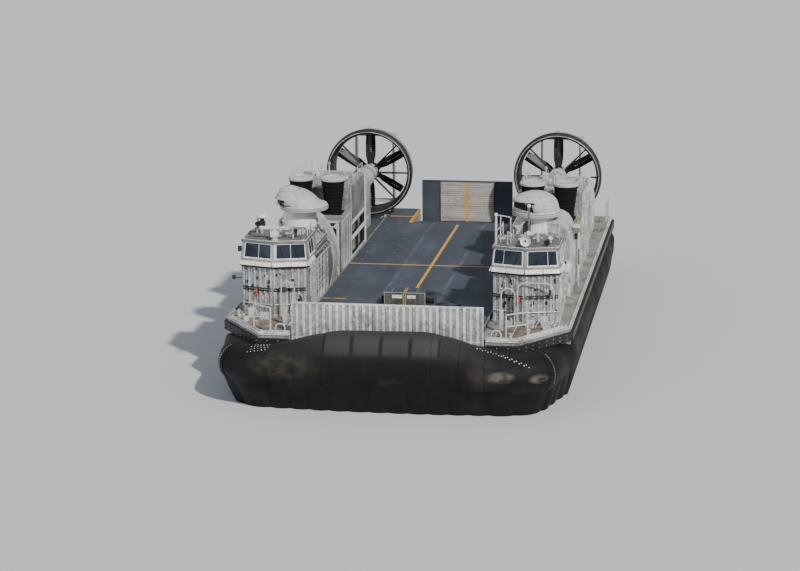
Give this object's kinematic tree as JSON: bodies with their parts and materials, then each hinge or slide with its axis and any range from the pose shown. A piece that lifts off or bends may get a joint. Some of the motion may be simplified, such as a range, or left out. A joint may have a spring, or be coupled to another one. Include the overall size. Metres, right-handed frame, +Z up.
{
  "type": "air-cushion landing craft",
  "caption": "Air-cushion military landing craft with an open cargo deck between side modules, bow and stern ramps, ducted propellers, rudders and an inflated skirt.",
  "frame": {"origin": "middle of the footprint on the level of the skirt's finger tips", "axes": "+Z up, -Y towards the bow ramp, -X towards starboard"},
  "size_m": [14.6858, 27.9719, 7.66],
  "materials": {
    "hull_metal": "weathered bare plate with stains",
    "bare_metal": "mottled light grey, unpainted",
    "grey_paint": "satin light grey",
    "white_paint": "satin white",
    "deck_coating": "gritty non-slip, dark blue-grey",
    "duct_paint": "dark lip, light outer skin",
    "engine_metal": "dull grey block",
    "blade_black": "matt black composite",
    "black_cover": "black coated fabric under a light grey cap",
    "window_glass": "dark tinted",
    "rubber": "black coated fabric, dusty and scuffed"
  },
  "bodies": {
    "root": {"hull": "hull_metal", "cargo_deck": "deck_coating", "winch_box": "deck_coating", "fender_starboard": "rubber", "fender_port": "rubber", "skirt_bag_bow": "rubber", "skirt_bag_port": "rubber", "skirt_bag_stern": "rubber", "skirt_bag_starboard": "rubber", "skirt_fingers_bow": "rubber", "skirt_fingers_port": "rubber", "skirt_fingers_stern": "rubber", "skirt_fingers_starboard": "rubber", "skirt_keel": "rubber", "foredeck_rails_starboard": "bare_metal", "cabin_shell_starboard": "bare_metal", "cabin_roof_starboard": "grey_paint", "cabin_glass_starboard": "window_glass", "fan_module_starboard": "bare_metal", "engine_module_starboard": "bare_metal", "engine_starboard": "engine_metal", "stacks_starboard": "black_cover", "aft_module_starboard": "bare_metal", "duct_starboard": "duct_paint", "foredeck_rails_port": "bare_metal", "cabin_shell_port": "bare_metal", "cabin_roof_port": "grey_paint", "cabin_glass_port": "window_glass", "fan_module_port": "bare_metal", "engine_module_port": "bare_metal", "engine_port": "engine_metal", "stacks_port": "black_cover", "aft_module_port": "bare_metal", "duct_port": "duct_paint", "radar_box": "white_paint"},
    "bow_ramp": {"bow_ramp": "bare_metal"},
    "stern_ramp": {"stern_ramp": "deck_coating"},
    "cabin_door_starboard": {"cabin_door_starboard": "grey_paint"},
    "cabin_door_port": {"cabin_door_port": "grey_paint"},
    "thruster_starboard": {"thruster_nozzle_starboard": "grey_paint"},
    "thruster_port": {"thruster_nozzle_port": "grey_paint"},
    "propeller_starboard": {"propeller_starboard": "blade_black"},
    "propeller_port": {"propeller_port": "blade_black"},
    "rudder_starboard_inner": {"rudder_starboard_inner": "bare_metal"},
    "rudder_starboard_outer": {"rudder_starboard_outer": "bare_metal"},
    "rudder_port_inner": {"rudder_port_inner": "bare_metal"},
    "rudder_port_outer": {"rudder_port_outer": "bare_metal"},
    "radar": {"radar_scanner": "white_paint"}
  },
  "joints": [
    {"name": "bow_ramp_hinge", "type": "hinge", "parent": "root", "child": "bow_ramp", "pos_m": [0, -12.12, 2.43], "axis": [1, 0, 0], "range_deg": [0, 130], "deforming": ["skirt_bag_bow"]},
    {"name": "stern_ramp_hinge", "type": "hinge", "parent": "root", "child": "stern_ramp", "pos_m": [0, 12.48, 2.29], "axis": [-1, 0, 0], "range_deg": [0, 117], "deforming": ["skirt_bag_stern"]},
    {"name": "cabin_door_starboard_hinge", "type": "hinge", "parent": "root", "child": "cabin_door_starboard", "pos_m": [-3.809, -8.36, 3.12], "axis": [0, 0, -1], "range_deg": [0, 110]},
    {"name": "cabin_door_port_hinge", "type": "hinge", "parent": "root", "child": "cabin_door_port", "pos_m": [3.809, -8.36, 3.12], "axis": [0, 0, 1], "range_deg": [0, 110]},
    {"name": "thruster_starboard_turn", "type": "hinge", "parent": "root", "child": "thruster_starboard", "pos_m": [-5.12, -3.9, 6.3], "axis": [0, 0, 1], "continuous": true},
    {"name": "thruster_port_turn", "type": "hinge", "parent": "root", "child": "thruster_port", "pos_m": [5.12, -3.9, 6.3], "axis": [0, 0, 1], "continuous": true},
    {"name": "propeller_starboard_spin", "type": "hinge", "parent": "root", "child": "propeller_starboard", "pos_m": [-4.6, 11, 5.12], "axis": [0, 1, 0], "continuous": true},
    {"name": "propeller_port_spin", "type": "hinge", "parent": "root", "child": "propeller_port", "pos_m": [4.6, 11, 5.12], "axis": [0, 1, 0], "continuous": true},
    {"name": "rudder_starboard_turn", "type": "hinge", "parent": "root", "child": "rudder_starboard_inner", "pos_m": [-3.67, 12.39, 5.12], "axis": [0, 0, 1], "range_deg": [-30, 30]},
    {"name": "rudder_starboard_follow", "type": "hinge", "parent": "root", "child": "rudder_starboard_outer", "pos_m": [-5.53, 12.39, 5.12], "axis": [0, 0, 1], "range_deg": [-30, 30]},
    {"name": "rudder_port_turn", "type": "hinge", "parent": "root", "child": "rudder_port_inner", "pos_m": [3.67, 12.39, 5.12], "axis": [0, 0, 1], "range_deg": [-30, 30]},
    {"name": "rudder_port_follow", "type": "hinge", "parent": "root", "child": "rudder_port_outer", "pos_m": [5.53, 12.39, 5.12], "axis": [0, 0, 1], "range_deg": [-30, 30]},
    {"name": "radar_spin", "type": "hinge", "parent": "root", "child": "radar", "pos_m": [-5.15, -9.08, 6.42], "axis": [0, 0, 1], "continuous": true}
  ],
  "couplings": [
    {"joint": "rudder_starboard_follow", "follows": "rudder_starboard_turn", "ratio": 1},
    {"joint": "rudder_port_follow", "follows": "rudder_port_turn", "ratio": 1}
  ]
}
